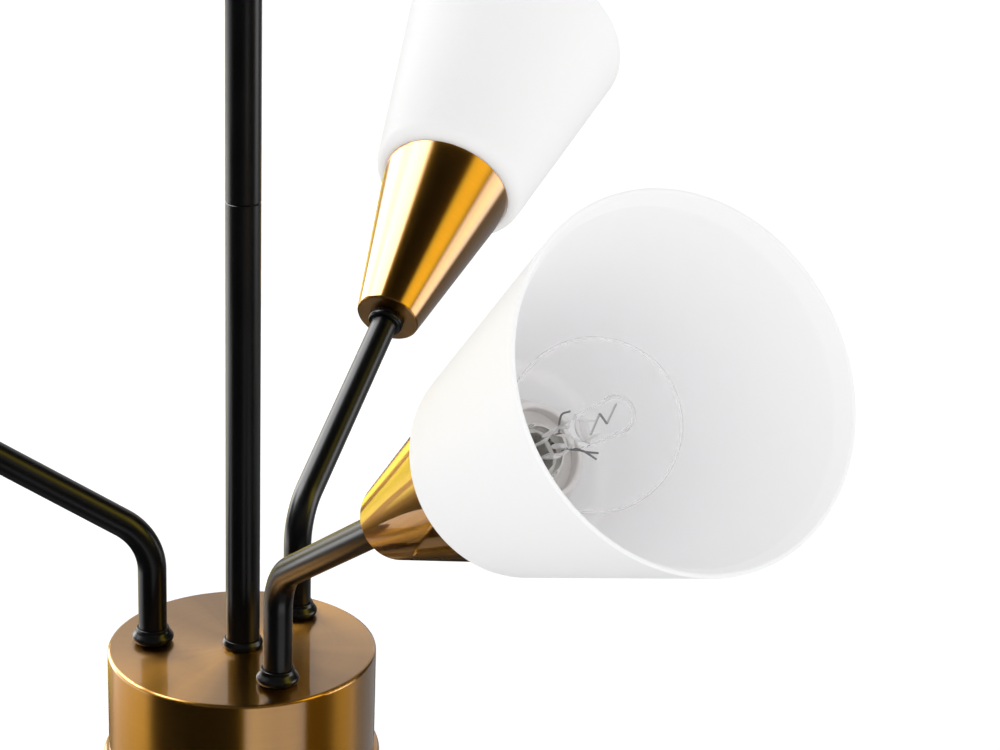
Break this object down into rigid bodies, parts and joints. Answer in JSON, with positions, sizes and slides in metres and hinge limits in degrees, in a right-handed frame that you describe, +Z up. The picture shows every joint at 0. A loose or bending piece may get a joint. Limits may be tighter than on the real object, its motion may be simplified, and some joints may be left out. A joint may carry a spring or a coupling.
{
  "type": "pendant lamp",
  "caption": "Rod-hung pendant lamp: brass drum hub with swivelling bent arms, each with a brass cone and an open, flared opal glass shade round a small clear ball bulb.",
  "frame": {"origin": "middle between the two ceiling slots, in the face that lies against the ceiling", "axes": "+Z up out of the ceiling face, along the stem; +X along the row of the two ceiling slots"},
  "size_m": [0.4549, 0.5184, 0.6],
  "materials": {
    "black_paint": "satin black stoved paint on steel tube and sheet",
    "antique_brass": "fine-brushed brass, antiqued brown and lacquered",
    "opal_glass": "opal white, satin-etched",
    "clear_glass": "clear, polished",
    "holder_plastic": "pale moulded heat-resistant plastic",
    "contact_brass": "bright stamped metal",
    "cap_metal": "rolled bright metal",
    "zinc_steel": "zinc-plated steel",
    "white_plastic": "moulded plastic",
    "wire_insulation": "extruded insulation"
  },
  "bodies": {
    "ceiling_and_hub": {"ceiling_bracket": "zinc_steel", "terminal_block": "white_plastic", "canopy": "black_paint", "canopy_screws": "zinc_steel", "canopy_nipple": "zinc_steel", "canopy_nut": "zinc_steel", "upper_stem": "black_paint", "stem_joiner": "zinc_steel", "lower_stem": "black_paint", "stem_wires": "wire_insulation", "stem_foot_ring": "black_paint", "hub_nipple": "zinc_steel", "hub_nut": "zinc_steel", "hub_yoke": "zinc_steel", "hub_drum": "antique_brass", "hub_cover": "antique_brass", "cover_knob": "antique_brass", "hub_connectors": "white_plastic"},
    "front_arm": {"front_arm_tube": "black_paint", "front_arm_flange": "black_paint", "front_arm_nuts": "zinc_steel", "front_arm_wires": "wire_insulation", "front_cone_collar": "black_paint", "front_cone": "antique_brass", "front_lampholder": "holder_plastic", "front_socket_contacts": "contact_brass", "front_shade_ring": "holder_plastic", "front_shade": "opal_glass"},
    "front_bulb": {"front_bulb_glass": "clear_glass", "front_bulb_cap": "cap_metal", "front_bulb_capsule": "clear_glass", "front_bulb_leads": "contact_brass"},
    "rear_arm": {"rear_arm_tube": "black_paint", "rear_arm_flange": "black_paint", "rear_arm_nuts": "zinc_steel", "rear_arm_wires": "wire_insulation", "rear_cone_collar": "black_paint", "rear_cone": "antique_brass", "rear_lampholder": "holder_plastic", "rear_socket_contacts": "contact_brass", "rear_shade_ring": "holder_plastic", "rear_shade": "opal_glass"},
    "rear_bulb": {"rear_bulb_glass": "clear_glass", "rear_bulb_cap": "cap_metal", "rear_bulb_capsule": "clear_glass", "rear_bulb_leads": "contact_brass"},
    "left_arm": {"left_arm_tube": "black_paint", "left_arm_flange": "black_paint", "left_arm_nuts": "zinc_steel", "left_arm_wires": "wire_insulation", "left_cone_collar": "black_paint", "left_cone": "antique_brass", "left_lampholder": "holder_plastic", "left_socket_contacts": "contact_brass", "left_shade_ring": "holder_plastic", "left_shade": "opal_glass"},
    "left_bulb": {"left_bulb_glass": "clear_glass", "left_bulb_cap": "cap_metal", "left_bulb_capsule": "clear_glass", "left_bulb_leads": "contact_brass"}
  },
  "joints": [
    {"name": "front_arm_swivel", "type": "hinge", "parent": "ceiling_and_hub", "child": "front_arm", "pos_m": [0.016, -0.02771, -0.545], "axis": [0, 0, 1], "range_deg": [-47.5, 42.5]},
    {"name": "front_bulb_out", "type": "slide", "parent": "front_arm", "child": "front_bulb", "axis": [0.4557, -0.7152, 0.5299], "range_m": [0, 0.03]},
    {"name": "rear_arm_swivel", "type": "hinge", "parent": "ceiling_and_hub", "child": "rear_arm", "pos_m": [0.016, 0.02771, -0.545], "axis": [0, 0, 1], "range_deg": [-57.5, 32.5]},
    {"name": "rear_bulb_out", "type": "slide", "parent": "rear_arm", "child": "rear_bulb", "axis": [0.255, 0.8088, 0.5299], "range_m": [0, 0.03]},
    {"name": "left_arm_swivel", "type": "hinge", "parent": "ceiling_and_hub", "child": "left_arm", "pos_m": [-0.032, 0, -0.545], "axis": [0, 0, 1], "range_deg": [-58, 32]},
    {"name": "left_bulb_out", "type": "slide", "parent": "left_arm", "child": "left_bulb", "axis": [-0.8263, -0.1908, 0.5299], "range_m": [0, 0.03]}
  ]
}
